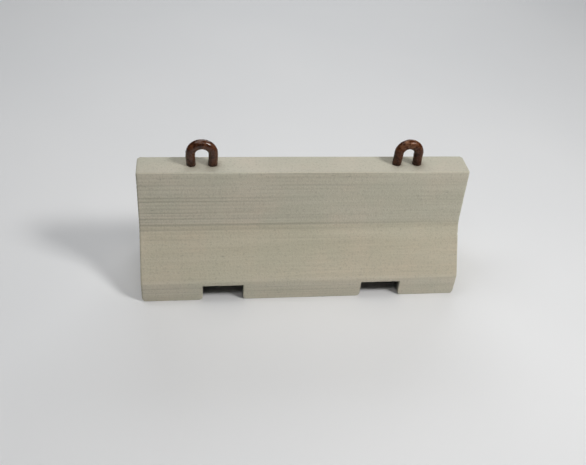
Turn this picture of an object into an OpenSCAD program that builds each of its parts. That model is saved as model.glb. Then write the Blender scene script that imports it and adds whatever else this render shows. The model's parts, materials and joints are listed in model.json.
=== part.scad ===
// Precast concrete jersey barrier with cast-in lifting loops, two fork pockets and a tied steel cage.
// X runs along the barrier, the front faces -Y and Z is up. The origin is the middle of the base.

/* [Concrete body] */
// Length of the barrier
barrier_l = 2000; // [1940:10:2400]
// Height of the concrete
barrier_h = 815; // [780:5:900]
// Width across the foot
base_w = 610; // [580:5:660]
// Width across the top
top_w = 175; // [170:5:220]
// Height of the upright foot
foot_h = 145; // [135:5:160]
// Height at which the steep upper face meets the lower slope
break_h = 430; // [400:5:460]
// Width at that height
break_w = 240; // [230:5:280]
// Radius of the cast edges
edge_r = 12; // [5:1:20]
// Radius of the hollow where the upper face meets the lower slope
blend_r = 80; // [40:5:120]
// Radius of the lower corners of the legs, seen from the front
leg_corner_r = 25; // [10:1:40]

/* [Fork pockets] */
// Width of a pocket
pocket_w = 250; // [200:10:280]
// Height of a pocket
pocket_h = 115; // [90:5:120]
// Distance between the middles of the two pockets
pocket_pitch = 1000; // [960:10:1040]

/* [Lifting loops] */
// Distance between the middles of the two loops
loop_pitch = 1240; // [1220:10:1260]
// Diameter of the loop's rod
loop_d = 58; // [20:1:58]
// Distance between the axes of a loop's two legs
loop_w = 126; // [110:1:130]
// Height of the rod's axis at the crown, above the concrete
loop_rise = 140; // [100:1:180]
// Depth of the hooked ends' axis, below the top of the concrete
loop_embed = 400; // [320:5:430]
// Bend radius of a hooked end, at the rod's axis
hook_r = 90; // [60:5:110]
// Straight tail of a hooked end, past its bend
hook_tail = 140; // [80:5:160]

/* [Steel cage] */
// Concrete cover over the stirrups
cover = 30; // [25:1:35]
// Diameter of a stirrup's bar
stirrup_d = 10; // [9:0.5:10]
// Bend radius of a stirrup, at the bar's axis
stirrup_bend = 22; // [18:1:25]
// Slit between the two ends of a stirrup
stirrup_slit = 6; // [4:1:20]
// Diameter of the long bars
bar_d = 12; // [10:1:12]
// Clear gap between a long bar and the stirrups that it is tied to
bar_gap = 4; // [2:0.5:5]
// Distance from a stirrup's bend to the nearest long bar's axis
bar_offset = 20; // [18:1:24]
// Distance from the end faces to the outermost stirrups
end_gap = 40; // [36:1:45]
// Spacing of the stirrups in the outer legs
outer_step = 105; // [80:5:105]
// Distance from a pocket to the nearest stirrup of the middle leg
pocket_gap = 55; // [45:5:80]
// Diameter of the tie wire
tie_d = 2; // [1.5:0.1:2.5]

/* [Cover spacers] */
// Width of a spacer wheel, along the bar that it clips onto
spacer_w = 12; // [8:1:16]
// Wall of a spacer wheel's rim and hub
spacer_wall = 5; // [3:0.5:6]
// Concrete left between a spacer wheel and the face that it stands off
spacer_skin = 1; // [0.5:0.5:2]

/* [Hidden] */
half_l = barrier_l / 2;
arris_r = edge_r / 2;
rod_fn = 48;
bend_fn = 96;
wire_fn = 16;
arc_steps = 6;
stirrup_r = stirrup_d / 2;
inset = cover + stirrup_r;
bend_swell = 0.2;
bend_lap = 1;
shortest_run = 3;
bar_inset = stirrup_r + bar_gap + bar_d / 2;

// Corners of the front half of the cross-section, as [distance from the middle plane, height].
top_corner = [top_w / 2, barrier_h];
break_corner = [break_w / 2, break_h];
crease_corner = [base_w / 2, foot_h];
foot_corner = [base_w / 2, 0];

// Corners of the stirrup's axis: the cross-section moved inwards by the cover and half a bar.
bar_top = offset_corner([0, barrier_h], top_corner, break_corner, inset);
bar_break = offset_corner(top_corner, break_corner, crease_corner, inset);
bar_crease = offset_corner(break_corner, crease_corner, foot_corner, inset);
bar_foot = [foot_corner.x - inset, inset];
slope_run = unit(bar_crease - bar_break);
short_z = pocket_h + inset;
bar_short = bar_break + slope_run * (short_z - bar_break.y) / slope_run.y;

full_half = [bar_top, bar_break, bar_crease, bar_foot];
short_half = [bar_top, bar_break, bar_short];

// Places of the stirrups along the barrier: from the middle to a pocket, over the pocket, then the outer leg.
middle_step = (pocket_pitch / 2 - pocket_w / 2 - pocket_gap) / 2;
outer_count = 3;
right_x = concat([middle_step, 2 * middle_step, pocket_pitch / 2, loop_pitch / 2],
                 [for (i = [outer_count - 1:-1:0]) half_l - end_gap - i * outer_step]);
stirrup_x = concat(-reversed(right_x), [0], right_x);

// Long bars: name, then the [place, direction] of the stirrup run that each lies beside.
upper_run = unit(bar_break - bar_top);
top_at = bar_top + upper_run * (bend_reach([0, bar_top.y], bar_top, bar_break, stirrup_bend) + bar_offset);
break_at = bar_break - upper_run * (2 * bar_offset);
slope_at = (bar_break + bar_short) / 2;
short_reach = bend_reach(bar_break, bar_short, [0, bar_short.y], stirrup_bend);
foot_at = bar_short - slope_run * (short_reach + bar_offset);
long_bars = [
    ["top_bar", top_at, upper_run],
    ["break_bar", break_at, upper_run],
    ["slope_bar", slope_at, slope_run],
    ["foot_bar", foot_at, slope_run],
];

// Bars low in the three legs: name, then the two ends along X.
leg_at = [bar_foot.x - stirrup_bend - bar_offset, bar_foot.y];
leg_run = [-1, 0];
pocket_in = pocket_pitch / 2 - pocket_w / 2 - inset;
pocket_out = pocket_pitch / 2 + pocket_w / 2 + inset;
leg_bars = [
    ["leg_bar_left", inset - half_l, -pocket_out],
    ["leg_bar_middle", -pocket_in, pocket_in],
    ["leg_bar_right", pocket_out, half_l - inset],
];

sides = [["front", -1], ["rear", 1]];

// Radius of the ring of wire around a crossing.
tie_clear = 1;
tie_slant = 45;
tie_r = stirrup_r + bar_d / 2 + bar_gap / 2 + tie_clear + tie_d / 2;

// Spacer wheels: their stirrups, and the places on the front half of each.
spacer_r = cover + stirrup_r - spacer_skin;
clip_play = 0.4;
spacer_bore = stirrup_d + clip_play;
spacer_cut = 2 * spacer_w;
slope_share = 0.25;
spacer_x = [-(half_l - end_gap - outer_step), 0, half_l - end_gap - outer_step];
spacer_at = [
    [(bar_top + bar_break) / 2, upper_run],
    [bar_break + (bar_short - bar_break) * slope_share, slope_run],
];

function two(n) = n < 10 ? str("0", n) : str(n);
function stirrup_name(i) = str("stirrup_", two(i + 1));

// ---- Geometry helpers ----

function reversed(list) = [for (i = [len(list) - 1:-1:0]) list[i]];
function unit(v) = v / norm(v);
function left_of(v) = [-v.y, v.x];
function turn(a, b) = atan2(cross(a, b), a * b);

// The corner p of a clockwise outline through q, p and s, moved inwards by d.
function offset_corner(q, p, s, d) =
    let (a = unit(p - q), b = unit(s - p))
    p - left_of(a) * d + a * d * tan(turn(a, b) / 2);

// The arc of radius r that rounds corner p between q and s: [middle, start angle, turn, reach along a side].
function bend_of(q, p, s, r) =
    let (a = unit(p - q), t = turn(a, unit(s - p)), reach = r * tan(abs(t) / 2), n = sign(t) * left_of(a))
    [p - a * reach + n * r, atan2(-n.y, -n.x), t, reach];
function bend_reach(q, p, s, r) = bend_of(q, p, s, r)[3];

// An outline with corner i rounded to radii[i], each arc in arc_steps steps.
function rounded(points, radii) =
    let (n = len(points))
    [for (i = [0:n - 1])
        let (b = bend_of(points[(i + n - 1) % n], points[i], points[(i + 1) % n], radii[i]))
        for (k = [0:arc_steps])
            let (angle = b[1] + b[2] * k / arc_steps)
            b[0] + radii[i] * [cos(angle), sin(angle)]];

// A half outline followed by its mirror image, so that it closes across the middle plane.
function with_mirror(half) = concat(half, [for (p = reversed(half)) [-p.x, p.y]]);

// That outline with its corners rounded to the half's radii.
function rounded_mirror(half, radii) = rounded(with_mirror(half), concat(radii, reversed(radii)));

// Turns a shape drawn in the XY plane to stand across the barrier, in the YZ plane.
module across() {
    rotate([90, 0, 90]) children();
}

// Turns a shape drawn in the XY plane to stand along the barrier, in the XZ plane.
module along() {
    rotate([90, 0, 0]) children();
}

// A round bar bent along points in the XY plane, with bend radius radii[i] at point i. Each bend is a
// little thicker than the straights, which run a little way into it.
module bent_bar(points, radii, d) {
    last = len(points) - 1;
    bends = [for (i = [0:last])
        i == 0 || i == last ? undef : bend_of(points[i - 1], points[i], points[i + 1], radii[i])];
    for (i = [0:last - 1]) {
        dir = unit(points[i + 1] - points[i]);
        start = points[i] + dir * (i == 0 ? 0 : bends[i][3] - bend_lap);
        end = points[i + 1] - dir * (i + 1 == last ? 0 : bends[i + 1][3] - bend_lap);
        run_l = (end - start) * dir;
        if (run_l > shortest_run)
            translate(start)
                rotate([0, 90, atan2(dir.y, dir.x)])
                    cylinder(d = d, h = run_l, $fn = rod_fn);
    }
    for (i = [1:last - 1])
        translate(bends[i][0])
            rotate([0, 0, bends[i][1] + min(bends[i][2], 0)])
                rotate_extrude(angle = abs(bends[i][2]), $fn = bend_fn)
                    translate([radii[i], 0])
                        circle(d = d + bend_swell, $fn = rod_fn);
}

// Puts its children at a place beside or on a stirrup's run, with local Y along the run and X along X.
module on_run(x, at, run, side, depth) {
    inwards = [run.y, -run.x];
    place = at + inwards * depth;
    translate([x, side * place.x, place.y])
        rotate([atan2(run.y, side * run.x), 0, 0])
            children();
}

// ---- Concrete ----

module cross_section() {
    half = [top_corner, break_corner, crease_corner, foot_corner];
    polygon(rounded_mirror(half, [edge_r, blend_r, edge_r, arris_r]));
}

// The barrier's outline from the front: rounded at the ends and around both pockets.
module elevation() {
    mid = pocket_pitch / 2;
    inner = mid - pocket_w / 2;
    outer = mid + pocket_w / 2;
    half = [[half_l, barrier_h], [half_l, 0], [outer, 0], [outer, pocket_h], [inner, pocket_h], [inner, 0]];
    polygon(rounded_mirror(half, [edge_r, leg_corner_r, leg_corner_r, arris_r, arris_r, leg_corner_r]));
}

module concrete_body() {
    color([0.62, 0.61, 0.55])
        difference() {
            intersection() {
                translate([-half_l, 0, 0])
                    across() linear_extrude(barrier_l) cross_section();
                translate([0, base_w / 2, 0])
                    along() linear_extrude(base_w) elevation();
            }
            lifting_loop(-1);
            lifting_loop(1);
            for (s = sides) {
                for (b = long_bars) long_bar(b, s[1]);
                for (b = leg_bars) leg_bar(b, s[1]);
            }
            for (x = stirrup_x) stirrup(x);
            tie_wires();
            cover_spacers();
        }
}

// ---- Lifting loops ----

// One loop: hooked ends, two legs and a round crown, all in the barrier's middle plane.
module lifting_loop(side) {
    leg = loop_w / 2;
    tail = leg + hook_r + hook_tail;
    points = [
        [-tail, -loop_embed], [-leg, -loop_embed], [-leg, loop_rise],
        [leg, loop_rise], [leg, -loop_embed], [tail, -loop_embed],
    ];
    color([0.29, 0.16, 0.10])
        translate([side * loop_pitch / 2, 0, barrier_h])
            along() bent_bar(points, [0, hook_r, leg, leg, hook_r, 0], loop_d);
}

// ---- Steel cage ----

// A link that follows the cross-section and whose ends face each other across a slit in the bottom run;
// over a pocket it stops above the pocket's ceiling.
module stirrup(x) {
    over_pocket = abs(abs(x) - pocket_pitch / 2) < pocket_w / 2 + cover;
    half = over_pocket ? short_half : full_half;
    end = [stirrup_slit / 2, half[len(half) - 1].y];
    points = with_mirror(concat([end], reversed(half)));
    color([0.45, 0.30, 0.22])
        translate([x, 0, 0])
            across() bent_bar(points, [for (p = points) stirrup_bend], stirrup_d);
}

// A straight bar from x0 to x1, beside the stirrups' run.
module straight_bar(at, run, side, x0, x1) {
    color([0.50, 0.33, 0.24])
        on_run(x0, at, run, side, bar_inset)
            rotate([0, 90, 0])
                cylinder(d = bar_d, h = x1 - x0, $fn = rod_fn);
}

module long_bar(bar, side) {
    straight_bar(bar[1], bar[2], side, cover - half_l, half_l - cover);
}

module leg_bar(bar, side) {
    straight_bar(leg_at, leg_run, side, bar[1], bar[2]);
}

// One ring of wire slantwise around a crossing.
module tie_wire(x, at, run, side) {
    on_run(x, at, run, side, bar_inset / 2)
        rotate([0, 90, tie_slant])
            rotate_extrude($fn = rod_fn)
                translate([tie_r, 0])
                    circle(d = tie_d, $fn = wire_fn);
}

// Every other crossing is tied, and neighbouring stirrups are tied at different bars.
module tie_wires() {
    color([0.35, 0.35, 0.36])
        for (s = sides)
            for (i = [0:len(stirrup_x) - 1]) {
                x = stirrup_x[i];
                for (k = [0:len(long_bars) - 1])
                    if ((i + k) % 2 == 0)
                        tie_wire(x, long_bars[k][1], long_bars[k][2], s[1]);
                for (b = leg_bars)
                    if (i % 2 == 0 && x > b[1] && x < b[2])
                        tie_wire(x, leg_at, leg_run, s[1]);
            }
}

// A wheel that clips onto a stirrup and holds it off the mould.
module spacer_wheel() {
    rotate([90, 0, 0])
        difference() {
            cylinder(r = spacer_r, h = spacer_w, center = true, $fn = rod_fn);
            cylinder(d = spacer_bore, h = spacer_cut, center = true, $fn = rod_fn);
            difference() {
                cylinder(r = spacer_r - spacer_wall, h = spacer_cut, center = true, $fn = rod_fn);
                cylinder(r = spacer_bore / 2 + spacer_wall, h = 2 * spacer_cut, center = true, $fn = rod_fn);
                for (a = [0, 90])
                    rotate([0, 0, a])
                        cube([2 * spacer_r, spacer_wall, 2 * spacer_cut], center = true);
            }
        }
}

module cover_spacers() {
    color([0.30, 0.30, 0.32])
        for (s = sides)
            for (x = spacer_x)
                for (p = spacer_at)
                    on_run(x, p[0], p[1], s[1], 0) spacer_wheel();
}

// ---- Nodes ----

concrete_body();
lifting_loop(-1);  // lifting_loop_left
lifting_loop(1);  // lifting_loop_right
for (s = sides) {
    for (b = long_bars)
        long_bar(b, s[1]);
    for (b = leg_bars)
        leg_bar(b, s[1]);
}
for (i = [0:len(stirrup_x) - 1])
    stirrup(stirrup_x[i]);
tie_wires();
cover_spacers();
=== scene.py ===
"""A precast concrete jersey barrier with rusty lifting loops, on a pale studio floor.

Everything is in metres. X runs along the barrier, the front faces -Y and Z is up.
"""

import json
import math

import bpy
import numpy as np
from mathutils import Matrix, Vector


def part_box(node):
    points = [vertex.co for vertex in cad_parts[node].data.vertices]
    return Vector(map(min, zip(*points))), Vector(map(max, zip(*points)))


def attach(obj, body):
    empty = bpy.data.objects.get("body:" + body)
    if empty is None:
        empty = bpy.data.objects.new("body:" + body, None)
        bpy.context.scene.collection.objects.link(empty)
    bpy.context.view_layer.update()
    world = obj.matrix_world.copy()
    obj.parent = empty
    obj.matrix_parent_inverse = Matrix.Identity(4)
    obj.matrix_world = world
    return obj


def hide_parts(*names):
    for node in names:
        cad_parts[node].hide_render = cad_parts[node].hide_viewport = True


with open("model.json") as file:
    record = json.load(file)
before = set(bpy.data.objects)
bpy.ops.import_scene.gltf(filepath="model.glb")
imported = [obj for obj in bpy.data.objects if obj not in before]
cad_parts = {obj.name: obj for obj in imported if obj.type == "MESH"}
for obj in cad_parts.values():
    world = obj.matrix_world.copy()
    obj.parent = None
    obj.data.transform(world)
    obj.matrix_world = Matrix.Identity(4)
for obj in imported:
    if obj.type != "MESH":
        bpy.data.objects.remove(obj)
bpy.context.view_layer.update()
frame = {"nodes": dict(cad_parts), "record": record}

MM = 0.001
SEED = 20

# The concrete, from the frame and from the profile that the CAD gives it.
BODY_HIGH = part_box("concrete_body")[1]
HALF_L = BODY_HIGH.x
HALF_BASE = BODY_HIGH.y
HEIGHT = BODY_HIGH.z
HALF_TOP = 87.5 * MM
HALF_BREAK = 120 * MM
FOOT_H = 145 * MM
BREAK_H = 430 * MM
POCKET_IN = 375 * MM
POCKET_OUT = 625 * MM
POCKET_H = 115 * MM
EDGE_R = 12 * MM
ARRIS_R = 5 * MM
REAR_EDGE_R = 34 * MM
LEG_CORNER_R = 25 * MM
CREASE_SOFT = 6 * MM
BREAK_SOFT = 24 * MM
FOOT_LINES = (67 * MM, 98 * MM)

# The lifting loops: rod, bends and places, from the frame where it shows them.
LOOP_ROD_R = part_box("lifting_loop_left")[1].y
LOOP_HALF_W = 63 * MM
LOOP_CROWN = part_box("lifting_loop_left")[1].z - LOOP_ROD_R
LOOP_TAIL_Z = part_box("lifting_loop_left")[0].z + LOOP_ROD_R
LOOP_HOOK_R = 90 * MM
LOOPS = {
    name: (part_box(name)[0].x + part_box(name)[1].x) / 2
    for name in ("lifting_loop_left", "lifting_loop_right")
}

# Roughness of the casting. Names that end in _MM hold a low and a high limit in millimetres.
WAVE_DEEP = 0.9 * MM
WAVE_SIZE = 0.32
GRAIN_DEEP = 0.35 * MM
GRAIN_SIZE = 26 * MM
LINE_GAP_MM = (12, 30)
LINE_WIDTH_MM = (4, 8)
LINE_DEEP_MM = (0.7, 2.2)
CHIP_COUNT = 90
CHIP_R_MM = (5, 15)
CHIP_DEEP_MM = (0.8, 3.2)
HOLE_COUNT = 90
HOLE_R_MM = (3, 5.5)
HOLE_DEEP_MM = (0.8, 2.0)
COLLAR_H = 2.2 * MM
COLLAR_W = 5 * MM

# Skin of the loops: how far it lies under the rod, and how much the crown thickens towards the eye.
SKIN_UNDER = 0.9 * MM
SKIN_DIP = 1.3 * MM
SKIN_RISE = 0.8 * MM
CROWN_EXTRA = 4.5 * MM


# ---- Numbers: grids and noise ----

def graded(stops, coarse, fine, zone):
    """Coordinates through all the stops, with a fine step within zone of each and a coarse one between."""
    points = [stops[0]]
    for low, high in zip(stops, stops[1:]):
        edge = min(zone, (high - low) / 2)
        spans = (
            (low, low + edge, fine),
            (low + edge, high - edge, coarse),
            (high - edge, high, fine),
        )
        for start, end, step in spans:
            if end - start > fine / 10:
                count = max(1, math.ceil((end - start) / step - 1e-6))
                points += list(np.linspace(start, end, count + 1)[1:])
    return np.array(points)


def value_noise(points, size, seed):
    """Smooth noise from -1 to 1 at each point. size is the width of a blob, as one number or one per axis."""
    table_n = 32
    table = np.random.default_rng(seed).uniform(-1, 1, (table_n,) * 3)
    at = points / np.asarray(size) + 100.0
    low = np.floor(at).astype(int)
    part = at - low
    part = part * part * (3 - 2 * part)
    total = np.zeros(len(points))
    for corner in np.ndindex(2, 2, 2):
        weight = np.prod(np.where(corner, part, 1 - part), axis=1)
        total += weight * table[tuple(((low + corner) % table_n).T)]
    return total


def layered_noise(points, size, seed, layers=3):
    """value_noise at several sizes, each half the last and half as strong."""
    sizes = np.asarray(size, float)
    noise = sum(value_noise(points, sizes / 2 ** k, seed + k) / 2 ** k for k in range(layers))
    return noise / 1.5


def soft_step(x, width):
    """0 well below 0, x well above it, with a round corner between."""
    return 0.5 * (x + np.sqrt(x * x + width * width))


# ---- Meshes ----

def mesh_object(name, points, faces, smooth=True):
    mesh = bpy.data.meshes.new(name)
    mesh.from_pydata([tuple(p) for p in points], [], [tuple(f) for f in faces])
    mesh.update()
    if smooth:
        mesh.polygons.foreach_set("use_smooth", [True] * len(mesh.polygons))
    obj = bpy.data.objects.new(name, mesh)
    bpy.context.scene.collection.objects.link(obj)
    return obj


def read_points(mesh):
    points = np.empty(len(mesh.vertices) * 3)
    mesh.vertices.foreach_get("co", points)
    return points.reshape(-1, 3)


def read_normals(mesh):
    normals = np.empty(len(mesh.vertices) * 3)
    mesh.vertices.foreach_get("normal", normals)
    return normals.reshape(-1, 3)


def write_points(mesh, points):
    mesh.vertices.foreach_set("co", points.ravel())
    mesh.update()


def write_values(mesh, name, values):
    """A number for each vertex, which a material reads by this name."""
    attribute = mesh.attributes.new(name, "FLOAT", "POINT")
    attribute.data.foreach_set("value", np.clip(values, 0, 1).astype(np.float32))


# ---- Concrete body ----

def half_width(z):
    """Half the barrier's width at height z: upright foot, slope and steep upper face, with round breaks."""
    lower = (HALF_BASE - HALF_BREAK) / (BREAK_H - FOOT_H)
    upper = (HALF_BREAK - HALF_TOP) / (HEIGHT - BREAK_H)
    return (HALF_BASE - lower * soft_step(z - FOOT_H, CREASE_SOFT)
            + (lower - upper) * soft_step(z - BREAK_H, BREAK_SOFT))


def round_off(depths, radius):
    """How far each depth grows when the edge where the depths are all zero is rounded to a radius."""
    reach = np.clip(radius - np.stack(depths), 0, None)
    length = np.sqrt((reach ** 2).sum(0))
    scale = np.divide(reach.max(0), length, out=np.ones_like(length), where=length > 0)
    return reach * (1 - scale)


def block_surface(solid):
    """The outer faces of a grid of cells, as lattice points and quads that face outwards."""
    shape = np.array(solid.shape) + 1
    quads = []
    padded = np.pad(solid, 1)
    for axis in range(3):
        u, v = [a for a in range(3) if a != axis]
        step_u, step_v = np.eye(3, dtype=int)[u], np.eye(3, dtype=int)[v]
        for side in (0, 1):
            core = [slice(1, -1)] * 3
            core[axis] = slice(0, -2) if side == 0 else slice(2, None)
            cells = np.argwhere(solid & ~padded[tuple(core)])
            base = cells + side * np.eye(3, dtype=int)[axis]
            ring = [base, base + step_u, base + step_u + step_v, base + step_v]
            outwards = (side == 1) == (axis != 1)
            quads.append(np.stack(ring if outwards else ring[::-1], axis=1))
    corners = np.concatenate(quads).reshape(-1, 3)
    index = np.ravel_multi_index(corners.T, shape)
    used, faces = np.unique(index, return_inverse=True)
    return np.stack(np.unravel_index(used, shape), axis=1), faces.reshape(-1, 4)


def concrete_points(x, t, z):
    """Moves block points, at share t of the width from -1 to 1, onto the barrier with its edges rounded.

    The names that end in _in, _up or _out are how far an edge's rounding moves a point.
    """
    away = np.abs(x)
    side_depth = (1 - np.abs(t)) * half_width(z)
    pocket_middle = (POCKET_IN + POCKET_OUT) / 2
    in_end_leg = away >= pocket_middle
    to_end = HALF_L - away
    to_pocket = away - POCKET_OUT
    # Depth into the leg from its nearest upright side, and whether that side faces away from the middle.
    leg_depth = np.where(in_end_leg, np.minimum(to_end, to_pocket), POCKET_IN - away)
    faces_out = np.where(in_end_leg, to_end < to_pocket, True)

    # The outer edges. The rear ones have a larger radius, so the larger of the two moves counts.
    end_in, side_in, top_in = round_off((to_end, side_depth, HEIGHT - z), EDGE_R)
    rear_in, rear_side_in = round_off((to_end, side_depth), REAR_EDGE_R)
    rear = (t > 0) & (rear_in + rear_side_in > end_in + side_in)
    end_in = np.where(rear, rear_in, end_in)
    side_in = np.where(rear, rear_side_in, side_in)

    # The lower corners of the legs, the arris along the foot, and the mouths of the pockets.
    leg_in, leg_up = round_off((np.clip(leg_depth, 0, None), z), LEG_CORNER_R)
    foot_in, foot_up = round_off((side_depth, z), ARRIS_R)
    beside = np.clip(np.maximum(POCKET_IN - away, to_pocket), 0, None)
    above = np.clip(z - POCKET_H, 0, None)
    mouth_in, mouth_out = round_off((side_depth, np.hypot(beside, above)), ARRIS_R)

    in_leg = leg_depth > -1e-6
    wall = (beside > 0) | ((above == 0) & in_leg)
    x_shift = np.where(in_leg, np.where(faces_out, -leg_in, leg_in), 0) - end_in
    x_shift += np.where(wall, np.where(away < pocket_middle, -mouth_out, mouth_out), 0)
    new_z = z - top_in + np.where(in_leg, leg_up, 0) + foot_up + np.where(wall, 0, mouth_out)
    new_half = half_width(np.clip(new_z, 0, HEIGHT))
    new_y = new_half - side_depth * (new_half / half_width(z)) - side_in - foot_in - mouth_in
    return np.stack([np.sign(x) * (away + x_shift), np.sign(t) * np.clip(new_y, 0, None), new_z], axis=1)


def form_lines(points, normals):
    """Depth of the level lines in the casting: random ones, two on the foot and one along the break.

    They are strongest high on the left.
    """
    rng = np.random.default_rng(SEED + 1)
    lines = [(BREAK_H + BREAK_SOFT, 5 * MM, 1.4 * MM, 1.0)]
    lines += [(z, 4 * MM, 2.6 * MM, 0.3) for z in FOOT_LINES]
    z = rng.uniform(0, 20 * MM)
    while z < HEIGHT:
        lines.append((z, rng.uniform(*LINE_WIDTH_MM) * MM, rng.uniform(*LINE_DEEP_MM) * MM, 0.15))
        z += rng.uniform(*LINE_GAP_MM) * MM
    depth = np.zeros(len(points))
    for z, width, deep, whole in lines:
        here = np.abs(points[:, 2] - z) < 4 * width
        along = value_noise(points[here] + [0, 0, 10 * z], [0.4, 0.5, 1], SEED + 2)
        wander = 1.5 * MM * value_noise(points[here] + [0, 0, 20 * z], [0.25, 0.5, 1], SEED + 9)
        fade = np.clip(0.5 + 0.9 * along + whole, 0, 1)
        depth[here] += deep * fade * np.exp(-((points[here, 2] - z - wander) / width) ** 2)
    upright = 1 - np.abs(normals[:, 2]) ** 4
    high = np.clip(0.3 + (points[:, 2] - 0.3) / 0.25, 0.4, 1)
    left = np.clip(0.7 - 0.45 * points[:, 0], 0.35, 1.1)
    return depth * upright * high * left


def dents(points, places, radii, depths):
    """Depth of round hollows at these places, and how much of each point lies in one."""
    depth, inside = np.zeros(len(points)), np.zeros(len(points))
    for place, radius, deep in zip(places, radii, depths):
        near = np.where(np.abs(points[:, 0] - place[0]) < radius)[0]
        share = 1 - ((points[near] - place) ** 2).sum(1) / radius ** 2
        share = np.clip(share, 0, 1)
        depth[near] = np.maximum(depth[near], deep * share * (2 - share))
        inside[near] = np.maximum(inside[near], share)
    return depth, inside


def chip_places(rng, count):
    """Places on the top edges, the foot, the end edges, the pocket mouths and the crease, in turn."""
    places = []
    for k in range(count):
        side = rng.choice([-1, 1])
        x = rng.uniform(-HALF_L, HALF_L)
        kind = k % 5
        if kind == 0:
            place = (x, side * HALF_TOP, HEIGHT)
        elif kind == 1:
            place = (x, side * HALF_BASE, 0)
        elif kind == 2:
            z = rng.uniform(0, HEIGHT)
            place = (rng.choice([-1, 1]) * HALF_L, side * half_width(z), z)
        elif kind == 3:
            middle = rng.choice([-1, 1]) * (POCKET_IN + POCKET_OUT) / 2
            place = (middle + rng.uniform(-0.5, 0.5) * (POCKET_OUT - POCKET_IN), side * HALF_BASE, POCKET_H)
        else:
            place = (x, side * HALF_BASE, FOOT_H)
        places.append(place)
    return np.array(places)


def loop_legs():
    return [(x + side * LOOP_HALF_W, 0.0) for x in LOOPS.values() for side in (-1, 1)]


def leg_distance(points):
    """Distance along the top from each point to the surface of the nearest loop leg."""
    return np.min([np.hypot(points[:, 0] - x, points[:, 1] - y) for x, y in loop_legs()], axis=0) - LOOP_ROD_R


def cast_block():
    """The plain casting as one closed mesh, with finer steps near its edges and its pockets."""
    x_lines = graded([-HALF_L, -POCKET_OUT, -POCKET_IN, POCKET_IN, POCKET_OUT, HALF_L],
                     20 * MM, 4 * MM, LEG_CORNER_R)
    t_lines = graded([-1, 0, 1], 0.09, 0.035, 0.14)
    z_lines = graded([0, POCKET_H, HEIGHT], 3.7 * MM, 2.5 * MM, EDGE_R)
    x_mid = np.abs(x_lines[1:] + x_lines[:-1]) / 2
    z_mid = (z_lines[1:] + z_lines[:-1]) / 2
    in_pocket = ((x_mid > POCKET_IN) & (x_mid < POCKET_OUT))[:, None] & (z_mid < POCKET_H)[None, :]
    solid = np.repeat(~in_pocket[:, None, :], len(t_lines) - 1, axis=1)
    lattice, faces = block_surface(solid)
    points = concrete_points(x_lines[lattice[:, 0]], t_lines[lattice[:, 1]], z_lines[lattice[:, 2]])
    return mesh_object("concrete_casting", points, faces)


def roughen(points, normals):
    """Depth to take off at each point, its depth of form line, and its shares in a chip and an air hole."""
    rng = np.random.default_rng(SEED)
    waves = WAVE_DEEP * (1 + layered_noise(points, WAVE_SIZE, SEED + 3)) / 2
    grain = GRAIN_DEEP * (1 + layered_noise(points, GRAIN_SIZE, SEED + 4, 2)) / 2
    lines = form_lines(points, normals)
    chips, chipped = dents(points, chip_places(rng, CHIP_COUNT), rng.uniform(*CHIP_R_MM, CHIP_COUNT) * MM,
                           rng.uniform(*CHIP_DEEP_MM, CHIP_COUNT) * MM)
    hole_x = rng.uniform(-HALF_L, HALF_L, HOLE_COUNT)
    hole_z = rng.uniform(0.02, HEIGHT, HOLE_COUNT)
    hole_y = rng.choice([-1, 1], HOLE_COUNT) * half_width(hole_z)
    hole_places = np.stack([hole_x, hole_y, hole_z], 1)
    holes, holed = dents(points, hole_places, rng.uniform(*HOLE_R_MM, HOLE_COUNT) * MM,
                         rng.uniform(*HOLE_DEEP_MM, HOLE_COUNT) * MM)
    broken = 0.7 + 0.3 * layered_noise(points, 8 * MM, SEED + 5)
    return waves + grain + lines + chips * broken + holes, lines, chipped, holed


def edge_wear(points):
    """1 at the top edges and the end edges, and 0 away from them."""
    reach = 14 * MM
    side_gap = half_width(points[:, 2]) - np.abs(points[:, 1])
    sharp = np.zeros(len(points))
    for gap in (HEIGHT - points[:, 2], HALF_L - np.abs(points[:, 0])):
        sharp = np.maximum(sharp, np.clip(1 - (gap + side_gap) / reach, 0, 1))
    return sharp


def pocket_shade_share(points):
    """Painted shade inside the pockets: 0 at a pocket's mouth, rising to 1 inside it, and 0 away from the
    pockets.
    """
    deep_in = (half_width(points[:, 2]) - np.abs(points[:, 1])) / (35 * MM)
    away = np.abs(points[:, 0])
    margin = np.where(points[:, 2] < LEG_CORNER_R, LEG_CORNER_R, 2 * MM)
    inside = (away > POCKET_IN - margin) & (away < POCKET_OUT + margin)
    return np.where(inside & (points[:, 2] < POCKET_H + 2 * MM), deep_in, 0)


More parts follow.
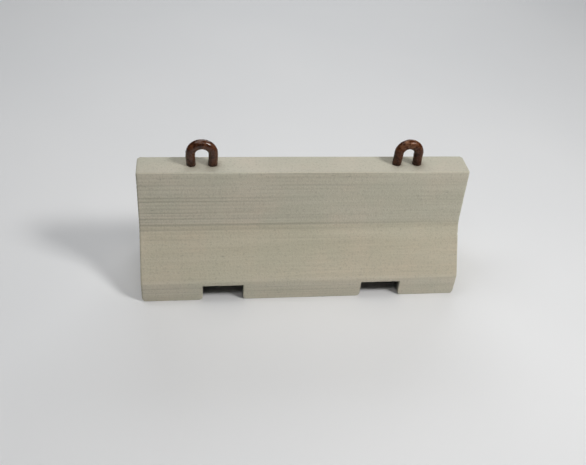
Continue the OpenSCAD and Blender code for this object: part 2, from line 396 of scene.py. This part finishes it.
def make_concrete():
    body = cast_block()
    mesh = body.data
    points, normals = read_points(mesh), read_normals(mesh)
    depth, lines, chipped, holed = roughen(points, normals)
    depth[points[:, 2] < 1e-6] = 0
    points = points - normals * depth[:, None]

    # A thin ragged collar of cement where each loop leg goes in.
    gap = leg_distance(points)
    on_top = normals[:, 2] > 0.9
    ragged = 1 + 0.6 * layered_noise(points, 14 * MM, SEED + 6)
    collar = np.exp(-((gap - 1 * MM) / COLLAR_W) ** 2) * ragged
    points[:, 2] += np.where(on_top, COLLAR_H * collar, 0)
    write_points(mesh, points)

    rubbing = 0.6 * edge_wear(points) * (0.6 + 0.4 * layered_noise(points, 0.05, SEED + 7))
    write_values(mesh, "worn", rubbing + chipped)
    write_values(mesh, "pitted", holed)
    write_values(mesh, "lined", lines / (1.6 * MM))
    # The top, the slope and the pockets carry painted shade, chosen to balance their brightness under
    # this scene's lights: the top and the slope a little darker, the slope also warmer, the pockets nearly
    # black inside. They are not marks of a known concrete.
    write_values(mesh, "top_painted_shade", on_top)
    from_slope = np.maximum(FOOT_H - points[:, 2], points[:, 2] - BREAK_H - BREAK_SOFT)
    write_values(mesh, "slope_warmth_and_shade", 0.5 - from_slope / (40 * MM))
    write_values(mesh, "pocket_painted_shade", pocket_shade_share(points))
    near_leg = np.where(on_top, np.exp(-np.clip(gap, 0, None) / (9 * MM)), 0)
    write_values(mesh, "rusty", near_leg * (0.7 + 0.5 * layered_noise(points, 20 * MM, SEED + 8)))
    return body


# ---- Lifting loops ----

def loop_route():
    """Points along a loop's axis, from one hooked end over the crown to the other, in its own XZ plane."""
    tail_x = (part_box("lifting_loop_left")[1].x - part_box("lifting_loop_left")[0].x) / 2
    step = 5 * MM
    route = []

    def straight(start, end):
        count = max(2, round(math.dist(start, end) / step))
        route.extend(np.linspace(start, end, count, endpoint=False))

    def arc(middle, radius, start_deg, end_deg):
        count = max(8, round(radius * math.radians(abs(end_deg - start_deg)) / step))
        for angle in np.radians(np.linspace(start_deg, end_deg, count, endpoint=False)):
            turned = (radius * math.cos(angle), radius * math.sin(angle))
            route.append(np.array([middle[0] + turned[0], middle[1] + turned[1]]))

    hook_x = LOOP_HALF_W + LOOP_HOOK_R
    hook_z = LOOP_TAIL_Z + LOOP_HOOK_R
    crown_z = LOOP_CROWN - LOOP_HALF_W
    straight((-tail_x, LOOP_TAIL_Z), (-hook_x, LOOP_TAIL_Z))
    arc((-hook_x, hook_z), LOOP_HOOK_R, -90, 0)
    straight((-LOOP_HALF_W, hook_z), (-LOOP_HALF_W, crown_z))
    arc((0, crown_z), LOOP_HALF_W, 180, 0)
    straight((LOOP_HALF_W, crown_z), (LOOP_HALF_W, hook_z))
    arc((hook_x, hook_z), LOOP_HOOK_R, 180, 270)
    straight((hook_x, LOOP_TAIL_Z), (tail_x, LOOP_TAIL_Z))
    route.append(np.array([tail_x, LOOP_TAIL_Z]))
    return np.array(route)


def tube_rings(route, around, radius):
    """Rings of points along the route, thicker towards the eye at the crown."""
    ahead = np.gradient(route, axis=0)
    ahead /= np.linalg.norm(ahead, axis=1)[:, None]
    outward = np.stack([-ahead[:, 1], ahead[:, 0]], axis=1)
    angles = np.linspace(0, 2 * math.pi, around, endpoint=False)
    crown_share = np.clip((route[:, 1] - (LOOP_CROWN - 55 * MM)) / (50 * MM), 0, 1)
    rings = []
    for at, out, share in zip(route, outward, crown_share):
        for angle in angles:
            inner = 1 + CROWN_EXTRA / radius * share * max(0, -math.cos(angle))
            rings.append([at[0] + out[0] * math.cos(angle) * radius * inner, math.sin(angle) * radius,
                          at[1] + out[1] * math.cos(angle) * radius * inner])
    return np.array(rings)


def tube_faces(count, around):
    """Quads between neighbouring rings, for this many rings."""
    faces = []
    for i in range(count - 1):
        for j in range(around):
            k = (j + 1) % around
            faces.append((i * around + j, i * around + k, (i + 1) * around + k, (i + 1) * around + j))
    return faces


def end_cap(points, first, around, centre, made, at_start):
    """A bevel ring and a centre point for one end. made is how many points exist before them."""
    ring = points[first:first + around]
    extra = [*(centre + (ring - centre) * 0.86), centre]
    hub = made + around
    faces = []
    for j in range(around):
        k = (j + 1) % around
        side = (first + j, made + j, made + k, first + k)
        cap = (made + j, hub, made + k)
        faces.append(side if at_start else side[::-1])
        faces.append(cap if at_start else cap[::-1])
    return extra, faces


def make_loop(node, seed, crown_sheen_amount, spread):
    """A bent rod: a tube with a slightly uneven, scaly skin and closed, bevelled ends.

    crown_sheen_amount is how strong the lighter copper brown at the crown is, partly rubbing wear and partly
    a painted highlight, and spread is how far the bender opened each shoulder.
    """
    route = loop_route()
    shoulder = np.clip((route[:, 1] - HEIGHT) / (60 * MM), 0, 1)
    route[:, 0] *= 1 + spread / LOOP_HALF_W * shoulder * shoulder * (3 - 2 * shoulder)
    route[:, 0] += LOOPS[node]
    axis = np.stack([route[:, 0], 0 * route[:, 0], route[:, 1]], 1)
    around = 40
    skin_r = LOOP_ROD_R - SKIN_UNDER
    points = tube_rings(route, around, skin_r)
    normals = (points - np.repeat(axis, around, axis=0)) / skin_r
    fine = 0.9 * MM * layered_noise(points, 11 * MM, seed)
    broad = 0.5 * MM * layered_noise(points, 45 * MM, seed + 3)
    points += normals * np.clip(fine + broad, -SKIN_DIP, SKIN_RISE)[:, None]

    faces = tube_faces(len(route), around)
    extra = []
    for i, at_start in ((0, True), (len(route) - 1, False)):
        more, caps = end_cap(points, i * around, around, axis[i], len(points) + len(extra), at_start)
        extra += more
        faces += caps
    points = np.concatenate([points, np.array(extra)])
    loop = mesh_object(node + "_rod", points, faces)
    # The crown's lighter copper brown: partly rubbing wear, partly a painted highlight.
    crown = np.clip((points[:, 2] - (LOOP_CROWN - 50 * MM)) / (70 * MM), 0, 1)
    write_values(loop.data, "crown_wear_and_sheen", crown_sheen_amount * crown * (0.5 + 0.7 * layered_noise(points, 22 * MM, seed + 5)))
    above = points[:, 2] - HEIGHT
    write_values(loop.data, "grimy", np.exp(-np.abs(above) / (14 * MM)))
    return loop


# ---- Materials ----

class Shader:
    """A Principled material built from small steps; each step returns the socket that it makes."""

    def __init__(self, name):
        self.material = bpy.data.materials.new(name)
        self.material.use_nodes = True
        self.tree = self.material.node_tree
        self.surface = self.tree.nodes["Principled BSDF"]
        self.place = self.tree.nodes.new("ShaderNodeTexCoord").outputs["Object"]

    def node(self, kind, **settings):
        made = self.tree.nodes.new(kind)
        for key, value in settings.items():
            setattr(made, key, value)
        return made

    def join(self, value, socket):
        if isinstance(value, bpy.types.NodeSocket):
            self.tree.links.new(value, socket)
        else:
            socket.default_value = value

    def stretched(self, scale):
        mapping = self.node("ShaderNodeMapping")
        self.join(self.place, mapping.inputs["Vector"])
        mapping.inputs["Scale"].default_value = scale
        return mapping.outputs["Vector"]

    def noise(self, scale, detail=3.0, roughness=0.5, vector=None):
        made = self.node("ShaderNodeTexNoise")
        self.join(vector or self.place, made.inputs["Vector"])
        made.inputs["Scale"].default_value = scale
        made.inputs["Detail"].default_value = detail
        made.inputs["Roughness"].default_value = roughness
        return made.outputs["Fac"]

    def cells(self, scale):
        made = self.node("ShaderNodeTexVoronoi")
        self.join(self.place, made.inputs["Vector"])
        made.inputs["Scale"].default_value = scale
        return made.outputs["Distance"]

    def values(self, name):
        return self.node("ShaderNodeAttribute", attribute_name=name).outputs["Fac"]

    def spread(self, value, low, high, to_low=0.0, to_high=1.0):
        made = self.node("ShaderNodeMapRange")
        self.join(value, made.inputs["Value"])
        for key, number in zip(("From Min", "From Max", "To Min", "To Max"), (low, high, to_low, to_high)):
            made.inputs[key].default_value = number
        return made.outputs["Result"]

    def math(self, operation, a, b):
        made = self.node("ShaderNodeMath", operation=operation)
        self.join(a, made.inputs[0])
        self.join(b, made.inputs[1])
        return made.outputs["Value"]

    def mix(self, share, a, b, blend="MIX"):
        made = self.node("ShaderNodeMix", data_type="RGBA", blend_type=blend)
        self.join(share, made.inputs[0])
        self.join(a if isinstance(a, bpy.types.NodeSocket) else (*a, 1), made.inputs[6])
        self.join(b if isinstance(b, bpy.types.NodeSocket) else (*b, 1), made.inputs[7])
        return made.outputs[2]

    def bump(self, heights, distance, strength=1.0):
        total = heights[0]
        for height in heights[1:]:
            total = self.math("ADD", total, height)
        made = self.node("ShaderNodeBump")
        self.join(total, made.inputs["Height"])
        made.inputs["Distance"].default_value = distance
        made.inputs["Strength"].default_value = strength
        return made.outputs["Normal"]

    def finish(self, color, roughness, normal, metallic=0.0):
        self.join(color, self.surface.inputs["Base Color"])
        self.join(roughness, self.surface.inputs["Roughness"])
        self.join(normal, self.surface.inputs["Normal"])
        self.join(metallic, self.surface.inputs["Metallic"])
        return self.material


def concrete_material():
    s = Shader("cast_concrete")
    blotches = s.noise(2.4, 4)
    patches = s.noise(8, 3)
    grain = s.noise(230, 2, 0.7)
    sand = s.noise(85, 3, 0.65)
    streaks = s.noise(1.0, 3, 0.6, s.stretched((1.6, 1.6, 70)))
    wide_streaks = s.noise(1.0, 2, 0.5, s.stretched((0.9, 0.9, 22)))
    specks = s.cells(34)

    grey_cement = (0.615, 0.590, 0.470)
    warm_cement = (0.690, 0.618, 0.498)
    cool_cement = (0.598, 0.590, 0.482)
    dark_streak = (0.475, 0.446, 0.347)
    pale_streak = (0.730, 0.692, 0.578)
    pale_grain = (0.780, 0.738, 0.618)
    dark_sand = (0.395, 0.369, 0.293)
    dark_speck = (0.316, 0.292, 0.228)
    # Painted shade: the top face is made a little darker and cooler to balance its brightness under these
    # lights.
    top_painted_shade = (0.838, 0.845, 0.860)
    # Painted shade with a little added warmth: the slope band is darkened to balance its brightness under
    # these lights.
    slope_warmth_and_shade = (0.930, 0.912, 0.872)
    # Painted shade: the inside of the pockets is painted nearly black.
    pocket_painted_shade = (0.040, 0.038, 0.033)
    rubbed_edge = (0.723, 0.689, 0.597)
    in_line = (0.339, 0.314, 0.244)
    in_hole = (0.200, 0.188, 0.150)
    rust_stain = (0.190, 0.115, 0.062)

    color = s.mix(s.spread(blotches, 0.40, 0.60), grey_cement, warm_cement)
    color = s.mix(s.spread(patches, 0.35, 0.7, 0, 0.4), color, cool_cement)
    color = s.mix(s.spread(streaks, 0.35, 0.65, 0.0, 0.36), color, dark_streak)
    color = s.mix(s.spread(wide_streaks, 0.4, 0.7, 0.0, 0.38), color, pale_streak)
    color = s.mix(s.spread(grain, 0.35, 0.7, 0.0, 0.30), color, pale_grain)
    color = s.mix(s.spread(sand, 0.52, 0.72, 0.0, 0.46), color, dark_sand)
    color = s.mix(s.spread(specks, 0.10, 0.05, 0.0, 0.30), color, dark_speck)
    # Painted shade, a little warmer, on the slope band.
    color = s.mix(s.values("slope_warmth_and_shade"), color, slope_warmth_and_shade, "MULTIPLY")
    # Painted shade on the top face.
    color = s.mix(s.values("top_painted_shade"), color, top_painted_shade, "MULTIPLY")
    color = s.mix(s.spread(s.values("worn"), 0, 1, 0, 0.14), color, rubbed_edge)
    color = s.mix(s.spread(s.values("lined"), 0.1, 1, 0, 0.40), color, in_line)
    color = s.mix(s.spread(s.values("pitted"), 0.1, 0.9, 0, 0.5), color, in_hole)
    color = s.mix(s.spread(s.values("rusty"), 0, 1, 0, 0.6), color, rust_stain)
    # Painted shade: the pocket insides go nearly black.
    color = s.mix(s.spread(s.values("pocket_painted_shade"), 0, 1, 0, 0.96), color, pocket_painted_shade)

    roughness = s.spread(sand, 0.3, 0.7, 0.86, 0.97)
    normal = s.bump([
        s.math("MULTIPLY", grain, 0.5),
        s.math("MULTIPLY", sand, 1.3),
        s.math("MULTIPLY", streaks, 0.8),
        s.spread(specks, 0.02, 0.12, -0.6, 0.0),
    ], 1.8 * MM, 1.0)
    s.surface.inputs["Specular IOR Level"].default_value = 0.25
    return s.finish(color, roughness, normal)


def rust_material(name, gloss):
    """Dark red-brown rust, shinier the higher gloss is, and lighter copper brown at the crown: partly rubbing
    wear, partly a painted highlight.
    """
    s = Shader(name)
    flakes = s.noise(42, 4, 0.6)
    fine = s.noise(210, 3, 0.6)
    large = s.noise(14, 3)
    crown_wear_and_sheen = s.math("MULTIPLY", s.values("crown_wear_and_sheen"), s.spread(flakes, 0.42, 0.60))
    dark_rust = (0.040, 0.0125, 0.0050)
    red_rust = (0.092, 0.027, 0.009)
    flake = (0.150, 0.047, 0.015)
    pit = (0.022, 0.009, 0.006)
    copper_wear_and_highlight = (0.330, 0.165, 0.090)
    grime = (0.012, 0.007, 0.005)
    color = s.mix(s.spread(large, 0.35, 0.65), dark_rust, red_rust)
    color = s.mix(s.spread(flakes, 0.46, 0.68, 0, 0.6), color, flake)
    color = s.mix(s.spread(fine, 0.55, 0.75, 0, 0.5), color, pit)
    # Painted highlight, partly real rubbing wear: a lighter copper brown on the crown.
    color = s.mix(s.spread(crown_wear_and_sheen, 0, 1, 0, 0.85), color, copper_wear_and_highlight)
    color = s.mix(s.spread(s.values("grimy"), 0.2, 1, 0, 0.85), color, grime)
    roughness = s.math("ADD", s.spread(flakes, 0.35, 0.7, 0.20, 0.40), s.spread(crown_wear_and_sheen, 0, 1, 0, 0.25))
    normal = s.bump([s.math("MULTIPLY", fine, 0.35), flakes], 1.3 * MM, 0.8 - 0.6 * gloss)
    s.surface.inputs["Specular IOR Level"].default_value = 0.18
    s.surface.inputs["Coat Weight"].default_value = 0.55 * gloss
    s.surface.inputs["Coat Roughness"].default_value = 0.07
    return s.finish(color, roughness, normal, s.spread(crown_wear_and_sheen, 0, 1, 0.0, 0.6))


def bar_material():
    s = Shader("mill_scale_bar_steel")
    scale = s.noise(30, 4, 0.6)
    fine = s.noise(260, 3, 0.6)
    mill_scale = (0.055, 0.050, 0.050)
    brown_rust = (0.190, 0.080, 0.035)
    orange_rust = (0.270, 0.120, 0.050)
    color = s.mix(s.spread(scale, 0.42, 0.6), mill_scale, brown_rust)
    color = s.mix(s.spread(fine, 0.5, 0.75, 0, 0.5), color, orange_rust)
    ribs = s.node("ShaderNodeTexWave", wave_type="BANDS", bands_direction="DIAGONAL")
    s.join(s.place, ribs.inputs["Vector"])
    ribs.inputs["Scale"].default_value = 45
    roughness = s.spread(scale, 0.4, 0.65, 0.45, 0.85)
    normal = s.bump([s.math("MULTIPLY", fine, 0.4), ribs.outputs["Fac"]], 0.8 * MM, 0.9)
    return s.finish(color, roughness, normal, s.spread(scale, 0.42, 0.6, 0.8, 0.1))


def tie_material():
    s = Shader("annealed_tie_wire")
    scale = s.noise(120, 3)
    color = s.mix(s.spread(scale, 0.4, 0.6), (0.045, 0.045, 0.050), (0.110, 0.070, 0.050))
    return s.finish(color, s.spread(scale, 0.4, 0.6, 0.35, 0.6), s.bump([scale], 0.3 * MM), 0.85)


def spacer_material():
    s = Shader("moulded_spacer_plastic")
    mottle = s.noise(60, 3)
    fine = s.noise(500, 2)
    color = s.mix(s.spread(mottle, 0.4, 0.6), (0.070, 0.072, 0.080), (0.095, 0.097, 0.105))
    return s.finish(color, s.spread(mottle, 0.4, 0.6, 0.42, 0.55), s.bump([fine], 0.2 * MM, 0.5))


def floor_material():
    s = Shader("pale_floor")
    broad = s.noise(0.5, 2)
    fine = s.noise(40, 2)
    color = s.mix(s.spread(broad, 0.35, 0.65), (0.838, 0.842, 0.850), (0.862, 0.863, 0.868))
    return s.finish(color, 0.75, s.bump([fine], 0.2 * MM, 0.1))


def dress(obj, material):
    obj.data.materials.clear()
    obj.data.materials.append(material)


# ---- Scene: floor, light and camera ----

def make_floor():
    half = 30.0
    points = [(-half, -half, 0), (half, -half, 0), (half, half, 0), (-half, half, 0)]
    floor = mesh_object("floor", points, [(0, 1, 2, 3)], smooth=False)
    dress(floor, floor_material())


def area_light(name, place, target, size, power, color):
    data = bpy.data.lights.new(name, "AREA")
    data.shape = "RECTANGLE"
    data.size, data.size_y = size
    data.energy = power
    data.color = color
    light = bpy.data.objects.new(name, data)
    bpy.context.scene.collection.objects.link(light)
    light.location = place
    light.rotation_euler = (Vector(target) - Vector(place)).to_track_quat("-Z", "Y").to_euler()


def make_light():
    """Plain soft studio light: a key from the right, three wider panels and a dim sky."""
    bpy.context.scene.view_settings.view_transform = "Standard"
    world = bpy.data.worlds.new("dim_sky")
    bpy.context.scene.world = world
    world.use_nodes = True
    background = world.node_tree.nodes["Background"]
    background.inputs["Color"].default_value = (0.93, 0.97, 1.0, 1)
    background.inputs["Strength"].default_value = 0.035
    middle = (0, 0, 0.3)
    area_light("key_panel", (4.2, -2.8, 6.2), middle, (1.6, 1.6), 284, (1.0, 0.992, 0.975))
    area_light("left_panel", (-2.5, 1.0, 7.0), middle, (4.0, 4.0), 140, (0.98, 0.99, 1.0))
    area_light("rear_panel", (1.5, 8.5, 6.5), middle, (9.0, 3.0), 330, (0.96, 0.98, 1.0))
    area_light("front_panel", (-0.6, -3.8, 7.0), middle, (4.0, 1.5), 66, (1.0, 0.99, 0.98))


def make_camera():
    """The view from high in front and a little left, turned slightly about its own axis."""
    place = Vector((-0.654, -3.534, 3.195))
    yaw, pitch, roll = (math.radians(a) for a in (-9.83, 39.05, -5.30))
    data = bpy.data.cameras.new("camera")
    data.lens = 44.0
    data.sensor_width = 36.0
    camera = bpy.data.objects.new("camera", data)
    bpy.context.scene.collection.objects.link(camera)
    turn = (Matrix.Rotation(yaw, 4, "Z") @ Matrix.Rotation(math.pi / 2 - pitch, 4, "X")
            @ Matrix.Rotation(-roll, 4, "Z"))
    camera.matrix_world = Matrix.Translation(place) @ turn
    bpy.context.scene.camera = camera


# ---- Assembly ----

make_camera()
make_floor()
make_light()

casting = make_concrete()
dress(casting, concrete_material())
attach(casting, "root")
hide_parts("concrete_body")

loop_looks = {
    "lifting_loop_left": {"gloss": 0.9, "crown_sheen_amount": 0.25, "spread": 3.5 * MM},
    "lifting_loop_right": {"gloss": 0.15, "crown_sheen_amount": 1.3, "spread": -2.0 * MM},
}
for number, (node, look) in enumerate(loop_looks.items()):
    rod = make_loop(node, SEED + 40 + 10 * number, look["crown_sheen_amount"], look["spread"])
    dress(rod, rust_material("rusty_" + node, look["gloss"]))
    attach(rod, "root")
    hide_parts(node)

inner_materials = {
    "bar_steel": bar_material(),
    "tie_steel": tie_material(),
    "spacer_plastic": spacer_material(),
}
for subpart in frame["record"]["subparts"]:
    if subpart["material_slot"] in inner_materials:
        dress(frame["nodes"][subpart["node"]], inner_materials[subpart["material_slot"]])
